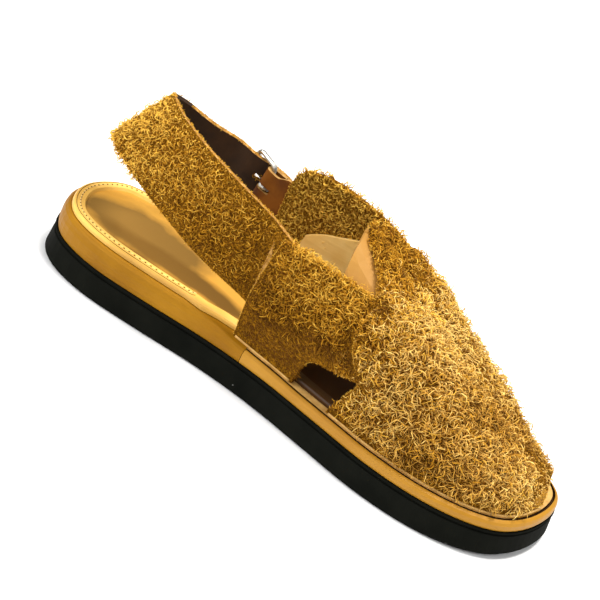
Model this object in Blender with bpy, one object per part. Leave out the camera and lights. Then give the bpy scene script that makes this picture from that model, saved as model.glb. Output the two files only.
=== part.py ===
"""A right peshawari chappal: an open shoe of two wide shaggy suede bands that cross over the
instep, a slingback strap round the heel, a leather-wrapped heel wedge and a black rubber sole.

The toe points to +X, the outer side of the foot is -Y, and the sole stands on z = 0.
"""
import functools
import math

import bmesh
import bpy
import numpy as np
from mathutils import Vector
from mathutils.geometry import delaunay_2d_cdt

# Driving sizes, in metres
LENGTH = 0.290
BALL_WIDTH = 0.101
SOLE_THICK = 0.0150
TOE_RISE = 0.0030
WEDGE_HEIGHT = 0.0125
FOREPART_HEIGHT = 0.0055
INSOLE_THICK = 0.0026
FOOTBED_THICK = 0.0013
INSTEP_HEIGHT = 0.0700
WALL = 0.0024
STRAP_THICK = 0.0026
CHAPE_WIDTH = 0.0200
CHAPE_THICK = 0.0020
TONGUE_THICK = 0.0018
BUCKLE_WIRE = 0.0026
PRONG_WIRE = 0.0020
FIT = 0.0003
ROOT_GAP = 0.0005
TONGUE_GAP = 0.0004

# Where the two tan pieces of the midsole meet, as a share of the length from the heel
SEAM_AT = 0.440
# Margins in from the sole's edge, in metres
UPPER_MARGIN = 0.0085
HEEL_INSOLE_MARGIN = 0.0045
INSOLE_GAP = 0.0010
RIM_WIDTH = 0.0060
WELT_WIDTH = 0.0040
GROOVE_WIDTH = 0.0009
GROOVE_DEPTH = 0.0018
STEP_RUN = 0.0007
# Where the toe's underside starts to rise, and from where to where the footbed narrows to pass
# inside the upper, on its outer and inner side, as shares of the length from the heel
TOE_LIFT_AT = 0.800
OUTER_NARROWS = (0.348, 0.383)
INNER_NARROWS = (0.290, 0.345)

# The sole's outline. Along: share of the length from the heel. Across: share of the ball
# width from the long axis, outer side negative. It runs from the heel by the outer side.
OUTLINE = (
    # along, across
    (0.000, 0.014), (0.019, -0.171), (0.062, -0.296), (0.140, -0.364), (0.245, -0.366),
    (0.370, -0.348), (0.485, -0.368), (0.605, -0.431), (0.710, -0.488), (0.805, -0.496),
    (0.888, -0.448), (0.950, -0.348), (0.984, -0.201), (1.000, -0.010), (0.997, 0.160),
    (0.974, 0.268), (0.928, 0.352), (0.840, 0.440), (0.730, 0.488), (0.600, 0.447),
    (0.470, 0.379), (0.345, 0.349), (0.240, 0.352), (0.135, 0.372), (0.055, 0.332),
    (0.014, 0.194),
)
OUTLINE_STEPS = 4

# The side of the rubber sole, from the ground up.
SOLE_SIDE = (
    # height as a share of the thickness, inset in metres
    (0.00, 0.0012), (0.09, 0.0000), (0.84, 0.0010), (0.87, 0.0018), (0.91, 0.0018),
    (0.94, 0.0008), (1.00, 0.0012),
)
# The rolled side of the tan midsole, from the bottom up.
MIDSOLE_SIDE = (
    # height as a share of the midsole's own, inset in metres
    (0.00, 0.0020), (0.22, 0.0014), (0.60, 0.0014), (0.85, 0.0020), (0.96, 0.0029),
    (1.00, 0.0037),
)
GROOVE_SLOPE = 0.0003
# The footbed's side and its dished middle: height as a share of INSOLE_THICK, and the distance
# in from its own edge, in metres; the dish follows from RIM_WIDTH and FOOTBED_THICK.
FOOTBED_SIDE = ((0.0, 0.0), (0.55, 0.0), (0.90, 0.0005), (1.0, 0.0016))
DISH_SLOPE = 0.0008
# The height of the tan midsole along the shoe.
WEDGE_RUN = (
    # along, share of the way from forepart height to wedge height
    (0.00, 1.00), (0.15, 1.00), (0.31, 0.86), (0.44, 0.22), (0.55, 0.00), (1.00, 0.00),
)

# The last under the bands: one row for each section from the ankle to the toe. The two base
# columns say where the section's feet stand, as shares of the way round the inset sole line,
# from the heel's middle by the outer side (0 to 1).
LAST = (
    # station, outer base, inner base, crown along, crown across, height, outer full, inner full
    (0.00, 0.150, 0.842, 0.300, 0.034, 1.62, 0.62, 0.66),
    (0.12, 0.196, 0.800, 0.372, 0.044, 1.46, 0.64, 0.68),
    (0.24, 0.238, 0.757, 0.442, 0.059, 1.25, 0.68, 0.74),
    (0.36, 0.279, 0.716, 0.508, 0.070, 1.05, 0.76, 0.84),
    (0.48, 0.320, 0.676, 0.578, 0.070, 0.90, 0.84, 0.94),
    (0.60, 0.360, 0.638, 0.660, 0.060, 0.69, 0.88, 1.04),
    (0.72, 0.398, 0.603, 0.752, 0.045, 0.50, 0.88, 1.06),
    (0.82, 0.430, 0.572, 0.835, 0.035, 0.325, 0.86, 1.04),
    (0.91, 0.466, 0.557, 0.908, 0.045, 0.195, 0.82, 0.98),
    (1.00, 0.497, 0.543, 0.960, 0.110, 0.13, 0.74, 0.80),
)

# The cut edge of the joined bands on the last, from the rear foot of the outer wing, over
# the throat to the inner wing, then by the inner opening, the toe and the outer opening.
# Station runs from the ankle (0) to the toe (1), side from the outer base (-1) to the inner.
UPPER_EDGE = (
    # station, side
    (0.143, -1.00), (0.138, -0.84), (0.154, -0.65), (0.268, -0.575), (0.403, -0.456),
    (0.392, -0.363), (0.366, -0.285), (0.340, -0.130), (0.355, 0.05), (0.362, 0.19),
    (0.375, 0.33), (0.250, 0.46), (0.129, 0.565), (0.065, 0.622), (0.045, 0.68),
    (0.046, 0.84), (0.050, 1.00),
    (0.250, 1.00), (0.268, 0.88), (0.335, 0.80), (0.410, 0.77), (0.378, 0.92), (0.365, 1.00),
    (1.000, 1.00), (1.000, 0.35), (0.982, 0.02), (1.000, -0.35), (1.000, -1.00),
    (0.397, -1.00), (0.405, -0.94), (0.440, -0.785), (0.372, -0.83), (0.312, -0.875),
    (0.298, -1.00),
)
EDGE_CORNERS = (0, 2, 4, 8, 10, 13, 16, 17, 20, 22, 23, 25, 27, 28, 30, 33)
# Where the upper band ends on top of the lower one: a step of one wall. The upper band lies
# to the right of each line.
TOP_BAND_REAR = ((0.440, -0.785), (0.392, -0.650), (0.424, -0.460), (0.525, -0.311),
                 (0.548, -0.160), (0.500, 0.030), (0.430, 0.200), (0.375, 0.330))
TOP_BAND_FRONT = ((0.410, 0.77), (0.500, 0.70), (0.620, 0.62), (0.760, 0.44), (0.880, 0.20),
                  (0.982, 0.02))
# Where the lower band ends, hidden under the upper one, which comes down over its edge. The
# lower band lies to the right of each line.
LOWER_BAND_FRONT = ((0.982, 0.02), (0.840, -0.22), (0.700, -0.46), (0.560, -0.67), (0.440, -0.785))
LOWER_BAND_REAR = ((0.375, 0.33), (0.420, 0.52), (0.410, 0.77))
COVER_RUN = 0.009

# The tongue's edge on the last, a thin folded leaf inside the throat.
TONGUE_EDGE = (
    # station, side
    (0.470, -0.380), (0.440, -0.440), (0.394, -0.480), (0.345, -0.530), (0.301, -0.530),
    (0.306, -0.420), (0.322, -0.280), (0.336, -0.150), (0.352, 0.000), (0.350, 0.200),
    (0.330, 0.380), (0.285, 0.530), (0.219, 0.644), (0.150, 0.725), (0.112, 0.775),
    (0.132, 0.870), (0.220, 0.850), (0.330, 0.700), (0.450, 0.420), (0.485, 0.000),
)
TONGUE_CORNERS = (4, 7, 14)

# The slingback strap. First its root under the outer wing, lying against it.
STRAP_ROOT = (
    # station, lower height, upper height (of the strap's top above the ground)
    (0.270, 0.34, 0.72), (0.230, 0.36, 0.76), (0.190, 0.38, 0.79), (0.150, 0.40, 0.82),
    (0.110, 0.425, 0.86),
)
STRAP_TOP = 0.100
# Then it runs free, round the heel.
STRAP_FREE = (
    # lower edge: along, across, height; upper edge: along, across, height
    (0.290, -0.325, 0.520, 0.310, -0.285, 0.940), (0.205, -0.297, 0.590, 0.224, -0.220, 0.975),
    (0.126, -0.225, 0.635, 0.150, -0.110, 0.995), (0.058, -0.100, 0.655, 0.108, 0.010, 0.995),
    (0.030, 0.040, 0.650, 0.092, 0.110, 0.965), (0.052, 0.185, 0.635, 0.112, 0.215, 0.915),
    (0.120, 0.285, 0.620, 0.156, 0.288, 0.860),
)
# Last its tail in the buckle, and the chape that holds the buckle, both measured from the
# buckle's pivot bar: back along the strap and out from the foot. The bar's middle is given as
# shares of the length, the ball width and the strap's top.
PIVOT_AT = (0.281, 0.329, 0.688)
BUCKLE_RISE = 0.14
STRAP_TAIL = (
    # back from the pivot bar, outer face out from it, half width; in metres
    (0.0240, 0.0026, 0.0106), (0.0140, 0.0034, 0.0099), (0.0080, 0.0046, 0.0097),
    (0.0020, 0.0064, 0.0096), (-0.0030, 0.0067, 0.0095), (-0.0090, 0.0064, 0.0088),
    (-0.0125, 0.0062, 0.0054),
)
STRAP_SLOT = (0.0006, 0.0086)
CHAPE_SLOT = (-0.0043, 0.0060)
CHAPE_ROOT = (
    # station, lower height, upper height (of the strap's top above the ground)
    (0.100, 0.55, 0.765), (0.085, 0.56, 0.775), (0.070, 0.57, 0.785), (0.050, 0.58, 0.795),
    (0.033, 0.59, 0.805),
)
# The chape's straight runs at the bar: its inner leaf from and to these distances ahead of the
# bar, and its outer leaf from and to these.
CHAPE_INNER_RUN = (0.0050, 0.0015)
CHAPE_OUTER_RUN = (0.0020, 0.0070)
FRAME_DEPTH = 0.0130
FRAME_OUT = 0.0052
FRAME_HALF = 0.0119
SLOT_WIDTH = 0.0027
# The prong from its eye on the bar to its tip on the frame: the eye's turn, as shares of half a
# turn, then how far back, and how far out short of its resting place on the frame, in metres.
PRONG_EYE = (-1.35, 0.42)
PRONG_RUN = ((0.0045, 0.0033), (0.0085, 0.0008), (0.0130, 0.0), (0.0146, 0.0))

RIBBON_COLUMNS = 7
BISECTIONS = 24
CROWN_SIDE = 0.02
RING_SIDES = 8
SECTION_STEPS = 12
PATTERN_LENGTH = 0.190
PATTERN_HALF = 0.074
PATTERN_GRID = 0.0058
EDGE_STEP = 0.0042
SLAB_GRID = 0.020


def foot_height(along):
    """The midsole's top above the ground, at a share of the length."""
    stations = [row[0] for row in WEDGE_RUN]
    shares = [row[1] for row in WEDGE_RUN]
    share = np.interp(along, stations, shares)
    return SOLE_THICK + FIT + FOREPART_HEIGHT + (WEDGE_HEIGHT - FOREPART_HEIGHT) * share


def share_along(x):
    return x / LENGTH + 0.5


def curve_through(points, steps, closed=False):
    """A smooth curve through the points, with this many steps between each two."""
    points = np.array(points, float)
    count = len(points)
    if closed:
        index = np.arange(count)
        before, start, end, after = (points[(index + k) % count] for k in (-1, 0, 1, 2))
    else:
        padded = np.vstack([2 * points[0] - points[1], points, 2 * points[-1] - points[-2]])
        before, start, end, after = padded[:-3], padded[1:-2], padded[2:-1], padded[3:]
    out = []
    for step in range(steps):
        t = step / steps
        out.append(0.5 * (2 * start + (end - before) * t
                          + (2 * before - 5 * start + 4 * end - after) * t ** 2
                          + (3 * start - before - 3 * end + after) * t ** 3))
    curve = np.stack(out, axis=1).reshape(-1, points.shape[1])
    return curve if closed else np.vstack([curve, points[-1]])


@functools.lru_cache(maxsize=None)
def sole_line():
    """The sole's outline and, for each point, the way in from the edge."""
    table = np.array(OUTLINE)
    table = np.column_stack([(table[:, 0] - 0.5) * LENGTH, table[:, 1] * BALL_WIDTH])
    line = curve_through(table, OUTLINE_STEPS, closed=True)
    ahead = np.roll(line, -1, axis=0) - np.roll(line, 1, axis=0)
    ahead /= np.linalg.norm(ahead, axis=1)[:, None]
    return line, np.column_stack([-ahead[:, 1], ahead[:, 0]])


def inset_line(margin):
    """The outline moved in by a margin, one value or one for each point."""
    line, inward = sole_line()
    return line + inward * np.reshape(margin, (-1, 1))


@functools.lru_cache(maxsize=None)
def foot_line():
    """The line that the bands stand on: the way round as shares, and the flat points."""
    line, _ = sole_line()
    steps = np.linalg.norm(np.roll(line, -1, axis=0) - line, axis=1)
    around = np.concatenate([[0], np.cumsum(steps)]) / steps.sum()
    moved = inset_line(UPPER_MARGIN)
    return around, np.vstack([moved, moved[:1]])


def foot_point(share):
    """A point on the line that the bands stand on, at a share of the way round it."""
    around, moved = foot_line()
    return np.array([np.interp(share, around, moved[:, 0]), np.interp(share, around, moved[:, 1])])


@functools.lru_cache(maxsize=None)
def last_curve():
    return curve_through(LAST, SECTION_STEPS)


@functools.lru_cache(maxsize=None)
def last_row(station):
    """The row of the last's table at a station, read from a smooth curve through its rows."""
    fine = last_curve()
    station = min(max(station, 0.0), 1.0)
    return [np.interp(station, fine[:, 0], fine[:, k]) for k in range(1, fine.shape[1])]


def last_point(station, side):
    """A point of the last under the bands: side -1 is its outer foot, 0 its crown, 1 its inner foot."""
    outer, inner, along, across, height, outer_full, inner_full = last_row(station)
    foot = foot_point(outer if side < 0 else inner)
    full = outer_full if side < 0 else inner_full
    floor = foot_height(share_along(foot[0])) + FIT
    crown = np.array([(along - 0.5) * LENGTH, across * BALL_WIDTH])
    top = foot_height(along) + height * INSTEP_HEIGHT
    rise, fall = max(1 - abs(side), 0.0) ** (1 / full), min(abs(side), 1.0) ** (1 / full)
    angle = rise / (rise + fall) * math.pi / 2
    out, up = max(math.cos(angle), 0.0) ** full, math.sin(angle) ** full
    spot = crown + (foot - crown) * out
    return np.array([spot[0], spot[1], floor + (top - floor) * up])


def last_normal(station, side):
    """The outward normal of the last, level at its feet."""
    reach = 0.004
    low, high = max(side - reach, -1.0), min(side + reach, 1.0)
    across = last_point(station, high) - last_point(station, low)
    back, ahead = max(station - reach, 0.0), min(station + reach, 1.0)
    along = last_point(ahead, side) - last_point(back, side)
    normal = np.cross(along, across)
    if abs(side) > 1 - 1e-6:
        normal[2] = 0.0
    return normal / np.linalg.norm(normal)


def last_offset(station, side, out):
    return last_point(station, side) + last_normal(station, side) * out


def add_material(obj, name, colour, roughness, metallic=0.0):
    material = bpy.data.materials.new(name)
    material.use_nodes = True
    shader = material.node_tree.nodes["Principled BSDF"]
    shader.inputs["Base Color"].default_value = (*colour, 1.0)
    shader.inputs["Roughness"].default_value = roughness
    shader.inputs["Metallic"].default_value = metallic
    obj.data.materials.append(material)


def add_mesh(name, points, faces, smooth_angle=35):
    """A closed mesh object with its faces turned outwards."""
    mesh = bpy.data.meshes.new(name)
    mesh.from_pydata([tuple(map(float, p)) for p in points], [], [list(map(int, f)) for f in faces])
    work = bmesh.new()
    work.from_mesh(mesh)
    bmesh.ops.recalc_face_normals(work, faces=work.faces)
    if work.calc_volume(signed=True) < 0:
        bmesh.ops.reverse_faces(work, faces=work.faces)
    work.to_mesh(mesh)
    work.free()
    mesh.shade_smooth()
    mesh.set_sharp_from_angle(angle=math.radians(smooth_angle))
    obj = bpy.data.objects.new(name, mesh)
    bpy.context.scene.collection.objects.link(obj)
    return obj


def inside(point, polygon):
    """Whether a flat point lies in a polygon."""
    x, y = point
    crossings = 0
    for (x0, y0), (x1, y1) in zip(polygon, np.roll(polygon, -1, axis=0)):
        if (y0 > y) != (y1 > y) and x < x0 + (y - y0) * (x1 - x0) / (y1 - y0):
            crossings += 1
    return crossings % 2 == 1


def to_lines(point, lines):
    """The distance from a flat point to the nearest of some polylines, positive to their right."""
    best, signed = 1e9, 1e9
    for line in lines:
        start, end = line[:-1], line[1:]
        run = end - start
        t = np.clip(((point - start) * run).sum(1) / (run ** 2).sum(1), 0, 1)
        away = point - (start + t[:, None] * run)
        size = np.hypot(away[:, 0], away[:, 1])
        k = size.argmin()
        if size[k] < best:
            best = size[k]
            right = run[k, 1] * away[k, 0] - run[k, 0] * away[k, 1]
            signed = math.copysign(best, right)
    return signed


def fill(loop, extra_lines=(), grid=PATTERN_GRID):
    """Triangles that fill a flat loop, with points on a grid inside it and along extra lines."""
    loop = np.array(loop, float)
    points = [tuple(p) for p in loop]
    edges = [(k, (k + 1) % len(loop)) for k in range(len(loop))]
    walls = [np.vstack([loop, loop[:1]])]
    for line in extra_lines:
        first = len(points)
        points += [tuple(p) for p in line]
        edges += [(first + k, first + k + 1) for k in range(len(line) - 1)]
        walls.append(np.array(line))
    low, high = loop.min(0), loop.max(0)
    for row, y in enumerate(np.arange(low[1] + grid / 2, high[1], grid * 0.87)):
        for x in np.arange(low[0] + grid / 2 * (1 + row % 2), high[0], grid):
            spot = np.array([x, y])
            if inside(spot, loop) and abs(to_lines(spot, walls)) > grid * 0.5:
                points.append((x, y))
    verts, _, faces, *_ = delaunay_2d_cdt([Vector(p) for p in points], edges, [], 0, 1e-7)
    verts = np.array([tuple(v) for v in verts])
    faces = [f for f in faces if inside(verts[list(f)].mean(0), loop)]
    return verts, faces


def thicken(flat, faces, lower, upper):
    """A closed solid between two sheets over one flat pattern."""
    used = sorted({k for face in faces for k in face})
    place = {k: n for n, k in enumerate(used)}
    faces = [tuple(place[k] for k in face) for face in faces]
    count = len(used)
    points = [lower(*flat[k]) for k in used] + [upper(*flat[k]) for k in used]
    sides = {}
    for face in faces:
        for a, b in zip(face, face[1:] + face[:1]):
            sides[(a, b)] = sides.get((a, b), 0) + 1
    rim = [(a, b) for a, b in sides if (b, a) not in sides]
    out = [tuple(reversed(face)) for face in faces]
    out += [tuple(k + count for k in face) for face in faces]
    out += [(a, b, b + count, a + count) for a, b in rim]
    return points, out


def slab(name, rings, top, bottom):
    """A solid of stacked rings of equal count, closed by a flat fill at each end.

    A ring is its flat points and a height for each; top and bottom give the closing
    sheets' height at a flat point.
    """
    count = len(rings[0][0])
    points = [(x, y, z) for line, heights in rings for (x, y), z in zip(line, heights)]
    faces = []
    for level in range(len(rings) - 1):
        for k in range(count):
            a, b = level * count + k, level * count + (k + 1) % count
            faces.append((a, b, b + count, a + count))
    for level, height, turn in ((len(rings) - 1, top, False), (0, bottom, True)):
        flat, fills = fill(rings[level][0], grid=SLAB_GRID)
        start = len(points)
        lookup = {}
        for k, (x, y) in enumerate(flat):
            if k < count:
                lookup[k] = level * count + k
            else:
                lookup[k] = start + len(lookup) - count
                points.append((x, y, height(x)))
        faces += [tuple(lookup[k] for k in (reversed(f) if turn else f)) for f in fills]
    return add_mesh(name, points, faces)


def toe_lift(x):
    """How far the sole's underside rises towards the toe."""
    return TOE_RISE * max(0.0, (share_along(x) - TOE_LIFT_AT) / (1 - TOE_LIFT_AT)) ** 2


def make_outsole():
    rings = []
    for level, inset in SOLE_SIDE:
        line = inset_line(inset)
        heights = [level * SOLE_THICK + (1 - level) * toe_lift(x) for x, _ in line]
        rings.append((line, heights))
    outsole = slab("outsole", rings, lambda x: SOLE_THICK, toe_lift)
    add_material(outsole, "black_rubber", (0.012, 0.013, 0.014), 0.55)


def cut_keep(obj, low, high):
    """Keeps the part of a solid between two stations of the length."""
    bpy.ops.mesh.primitive_cube_add(size=1)
    box = bpy.context.object
    box.name = obj.name + "_cutter"
    box.scale = (high - low, 2 * BALL_WIDTH, 4 * SOLE_THICK)
    box.location = ((low + high) / 2, 0, 2 * SOLE_THICK)
    box.display_type = "WIRE"
    box.hide_render = True
    cut = obj.modifiers.new("between the seams", "BOOLEAN")
    cut.operation = "INTERSECT"
    cut.solver = "EXACT"
    cut.object = box


def midsole_rings(forepart):
    """The tan midsole's side: a rolled edge and, in the forepart, a groove and a ridge inside it."""
    floor = SOLE_THICK + FIT
    rings = []
    for level, inset in MIDSOLE_SIDE:
        line = inset_line(inset)
        heights = [floor + level * (foot_height(share_along(x)) - floor) for x, _ in line]
        rings.append((line, heights))
    if forepart:
        for across, drop in ((0.0, GROOVE_DEPTH), (GROOVE_WIDTH, GROOVE_DEPTH),
                             (GROOVE_WIDTH + GROOVE_SLOPE, 0.0)):
            inset = WELT_WIDTH + across
            line = inset_line(inset)
            rings.append((line, [foot_height(share_along(x)) - drop for x, _ in line]))
    return rings


def make_midsole():
    seam = (SEAM_AT - 0.5) * LENGTH
    floor = SOLE_THICK + FIT
    for name, forepart, low, high in (("heel_wedge", False, -LENGTH, seam - FIT / 2),
                                      ("welt_midsole", True, seam + FIT / 2, LENGTH)):
        piece = slab(name, midsole_rings(forepart), lambda x: foot_height(share_along(x)),
                     lambda x: floor)
        cut_keep(piece, low, high)
        add_material(piece, name + "_leather", (0.46, 0.24, 0.045), 0.45)


def make_insole():
    line, _ = sole_line()
    clear = UPPER_MARGIN + FIT + INSOLE_GAP
    margin = [np.interp(share_along(x), OUTER_NARROWS if y < 0 else INNER_NARROWS,
                        [HEEL_INSOLE_MARGIN, clear]) for x, y in line]
    margin = np.array(margin)
    rings = []
    dish = FOOTBED_THICK / INSOLE_THICK
    for level, extra in FOOTBED_SIDE + ((1.0, RIM_WIDTH), (dish, RIM_WIDTH + DISH_SLOPE)):
        ring = inset_line(margin + extra)
        rings.append((ring, [foot_height(share_along(x)) + FIT + level * INSOLE_THICK
                             for x, _ in ring]))
    insole = slab("insole", rings, lambda x: foot_height(share_along(x)) + FIT + FOOTBED_THICK,
                  lambda x: foot_height(share_along(x)) + FIT)
    add_material(insole, "insole_leather", (0.40, 0.21, 0.07), 0.55)


def to_pattern(rows):
    rows = np.array(rows, float)
    return np.column_stack([rows[:, 0] * PATTERN_LENGTH, rows[:, 1] * PATTERN_HALF])


def spaced(line, step):
    """A polyline with points about a step apart, its own corners kept."""
    out = [line[0]]
    for start, end in zip(line[:-1], line[1:]):
        parts = max(1, int(round(np.linalg.norm(end - start) / step)))
        out += [start + (end - start) * k / parts for k in range(1, parts + 1)]
    return np.array(out)


def pattern_loop(rows, corners, step=EDGE_STEP):
    """A cut edge through its table's points, smooth between corners, straight along the feet."""
    points = to_pattern(rows)
    count = len(points)
    out = []
    for first, last in zip(corners, corners[1:] + (corners[0] + count,)):
        run = points[[k % count for k in range(first, last + 1)]]
        if len(run) > 2:
            run = curve_through(run, 6)
        out += list(spaced(run, step)[:-1])
    return merge_close(np.array(out), step * 0.35)


def merge_close(points, least):
    keep = [points[0]]
    for point in points[1:]:
        if np.linalg.norm(point - keep[-1]) > least:
            keep.append(point)
    return np.array(keep)


@functools.lru_cache(maxsize=None)
def band_line(rows):
    return spaced(curve_through(to_pattern(rows), 4), EDGE_STEP)


def wall_at(point):
    """The upper's wall: one band thick, and two where the upper band lies over the lower."""
    over = to_lines(point, [band_line(TOP_BAND_REAR), band_line(TOP_BAND_FRONT)])
    over = min(max(1 + over / STEP_RUN, 0.0), 1.0)
    covered = to_lines(point, [band_line(LOWER_BAND_FRONT), band_line(LOWER_BAND_REAR)])
    covered = min(max(covered / COVER_RUN, 0.0), 1.0)
    return WALL * (1 + over * covered * covered * (3 - 2 * covered))


def beside(line, distance):
    """A line moved to its left, and run on a little at both ends."""
    ahead = np.gradient(line, axis=0)
    ahead /= np.linalg.norm(ahead, axis=1)[:, None]
    moved = line + np.column_stack([-ahead[:, 1], ahead[:, 0]]) * distance
    return moved


def make_upper():
    loop = pattern_loop(UPPER_EDGE, EDGE_CORNERS)
    lines = []
    for rows in (TOP_BAND_REAR, TOP_BAND_FRONT):
        line = band_line(rows)
        lines += [line[1:-1], beside(line, STEP_RUN)[1:-1]]
    flat, faces = fill(loop, lines)

    def lower(u, v):
        return last_point(u / PATTERN_LENGTH, v / PATTERN_HALF)

    def upper(u, v):
        return last_offset(u / PATTERN_LENGTH, v / PATTERN_HALF, wall_at(np.array([u, v])))

    points, solid = thicken(flat, faces, lower, upper)
    obj = add_mesh("upper", points, solid)
    add_material(obj, "shaggy_suede", (0.50, 0.25, 0.035), 0.9)


def make_tongue():
    loop = pattern_loop(TONGUE_EDGE, TONGUE_CORNERS)
    flat, faces = fill(loop)

    def at_depth(depth):
        return lambda u, v: last_offset(u / PATTERN_LENGTH, v / PATTERN_HALF, -depth)

    points, solid = thicken(flat, faces, at_depth(TONGUE_GAP + TONGUE_THICK), at_depth(TONGUE_GAP))
    obj = add_mesh("tongue", points, solid)
    add_material(obj, "smooth_tan_leather", (0.52, 0.30, 0.10), 0.5)


def side_at(station, height, inner):
    """The side value at which the last's section passes a height above the ground."""
    low, high = CROWN_SIDE, 1.0
    for _ in range(BISECTIONS):
        middle = (low + high) / 2
        if last_point(station, middle if inner else -middle)[2] > height:
            low = middle
        else:
            high = middle
    return middle if inner else -middle


def root_rows(table, depth, inner):
    """Rows of points at a depth inside the last's face, each from its lower to its upper height."""
    rows = []
    for station, lower, upper in table:
        low = side_at(station, lower * STRAP_TOP, inner)
        high = side_at(station, upper * STRAP_TOP, inner)
        rows.append([last_offset(station, side, -depth)
                     for side in np.linspace(low, high, RIBBON_COLUMNS)])
    return rows


def buckle_axes():
    """The buckle's place: its pivot, and the ways back along the strap, outwards and up."""
    along, across, height = PIVOT_AT
    pivot = np.array([(along - 0.5) * LENGTH, across * BALL_WIDTH, height * STRAP_TOP])
    back = np.array([-1.0, 0.0, BUCKLE_RISE])
    back /= np.linalg.norm(back)
    out = np.array([0.0, 1.0, 0.0])
    return pivot, back, out, np.cross(out, back)


def buckle_spot(back_by, out_by, up_by):
    pivot, back, out, up = buckle_axes()
    return pivot + back * back_by + out * out_by + up * up_by


def sheet_normals(grid):
    """Unit normals of a grid of points, away from the shoe's inside."""
    along = np.gradient(grid, axis=0)
    across = np.gradient(grid, axis=1)
    normals = np.cross(across, along)
    return normals / np.linalg.norm(normals, axis=2)[:, :, None]


def plate(name, outer, inner):
    """A closed solid between two grids of points."""
    rows, columns = outer.shape[:2]
    points = list(outer.reshape(-1, 3)) + list(inner.reshape(-1, 3))
    count = rows * columns
    faces = []
    for r in range(rows - 1):
        for c in range(columns - 1):
            a, b = r * columns + c, (r + 1) * columns + c
            faces += [(a, a + 1, b + 1, b), (count + b, count + b + 1, count + a + 1, count + a)]
    edge = list(range(columns))
    edge += [r * columns + columns - 1 for r in range(1, rows)]
    edge += [(rows - 1) * columns + c for c in range(columns - 2, -1, -1)]
    edge += [r * columns for r in range(rows - 2, 0, -1)]
    for a, b in zip(edge, edge[1:] + edge[:1]):
        faces.append((b, a, count + a, count + b))
    return add_mesh(name, points, faces)


def cut_slot(obj, low, high):
    """Cuts a slot for the prong through a piece at the buckle, between two places on the strap."""
    bpy.ops.mesh.primitive_cube_add(size=1)
    box = bpy.context.object
    box.name = obj.name + "_cutter"
    _, back, _, _ = buckle_axes()
    box.scale = (high - low, 8 * BUCKLE_WIRE, SLOT_WIDTH)
    box.rotation_euler = (0, math.atan2(back[2], -back[0]), 0)
    box.location = buckle_spot((low + high) / 2, 0, 0)
    box.display_type = "WIRE"
    box.hide_render = True
    cut = obj.modifiers.new("slot for the prong", "BOOLEAN")
    cut.operation = "DIFFERENCE"
    cut.solver = "EXACT"
    cut.object = box


def make_heel_strap():
    rows = root_rows(STRAP_ROOT, ROOT_GAP, inner=False)
    for row in STRAP_FREE:
        ends = [np.array([(a - 0.5) * LENGTH, b * BALL_WIDTH, c * STRAP_TOP])
                for a, b, c in (row[:3], row[3:])]
        rows.append(np.linspace(ends[0], ends[1], RIBBON_COLUMNS))
    for back_by, out_by, half in STRAP_TAIL:
        rows.append([buckle_spot(back_by, out_by, up)
                     for up in np.linspace(-half, half, RIBBON_COLUMNS)])
    keys = np.array(rows).reshape(len(rows), -1)
    outer = curve_through(keys, 4).reshape(-1, RIBBON_COLUMNS, 3)
    inner = outer - sheet_normals(outer) * STRAP_THICK
    strap = plate("heel_strap", outer, inner)
    cut_slot(strap, *STRAP_SLOT)
    add_material(strap, "shaggy_suede_strap", (0.50, 0.25, 0.035), 0.9)


def make_chape():
    """The buckle's holder: sewn on the inner flap's outside, folded round the pivot bar."""
    rows = root_rows(CHAPE_ROOT, -(WALL + ROOT_GAP + CHAPE_THICK / 2), inner=True)
    radius = BUCKLE_WIRE / 2 + FIT + CHAPE_THICK / 2
    path = [(-ahead, -radius) for ahead in CHAPE_INNER_RUN]
    path += [(math.sin(a) * radius, -math.cos(a) * radius) for a in np.linspace(0.0, math.pi, 9)]
    path += [(-ahead, radius) for ahead in CHAPE_OUTER_RUN]
    for back_by, out_by in path:
        rows.append([buckle_spot(back_by, out_by, up)
                     for up in np.linspace(-CHAPE_WIDTH / 2, CHAPE_WIDTH / 2, RIBBON_COLUMNS)])
    keys = np.array(rows).reshape(len(rows), -1)
    middle = curve_through(keys, 2).reshape(-1, RIBBON_COLUMNS, 3)
    normals = sheet_normals(middle) * CHAPE_THICK / 2
    chape = plate("buckle_chape", middle + normals, middle - normals)
    cut_slot(chape, *CHAPE_SLOT)
    add_material(chape, "smooth_tan_leather_chape", (0.52, 0.30, 0.10), 0.5)


def tube(name, path, radius, closed):
    """A round wire along a path of points."""
    path = np.array(path)
    count = len(path)
    if closed:
        ahead = np.roll(path, -1, axis=0) - np.roll(path, 1, axis=0)
    else:
        ahead = np.gradient(path, axis=0)
    ahead /= np.linalg.norm(ahead, axis=1)[:, None]
    side = np.cross(ahead, np.array([0.31, 0.17, 0.93]))
    side /= np.linalg.norm(side, axis=1)[:, None]
    other = np.cross(ahead, side)
    points = []
    for k in range(count):
        for n in range(RING_SIDES):
            a = 2 * math.pi * n / RING_SIDES
            points.append(path[k] + radius * (math.cos(a) * side[k] + math.sin(a) * other[k]))
    faces = []
    for k in range(count if closed else count - 1):
        for n in range(RING_SIDES):
            a, b = k * RING_SIDES + n, k * RING_SIDES + (n + 1) % RING_SIDES
            step = RING_SIDES if k + 1 < count else RING_SIDES - count * RING_SIDES
            faces.append((a, b, b + step, a + step))
    if not closed:
        faces += [tuple(range(RING_SIDES - 1, -1, -1)),
                  tuple(range((count - 1) * RING_SIDES, count * RING_SIDES))]
    return add_mesh(name, points, faces)


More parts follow.
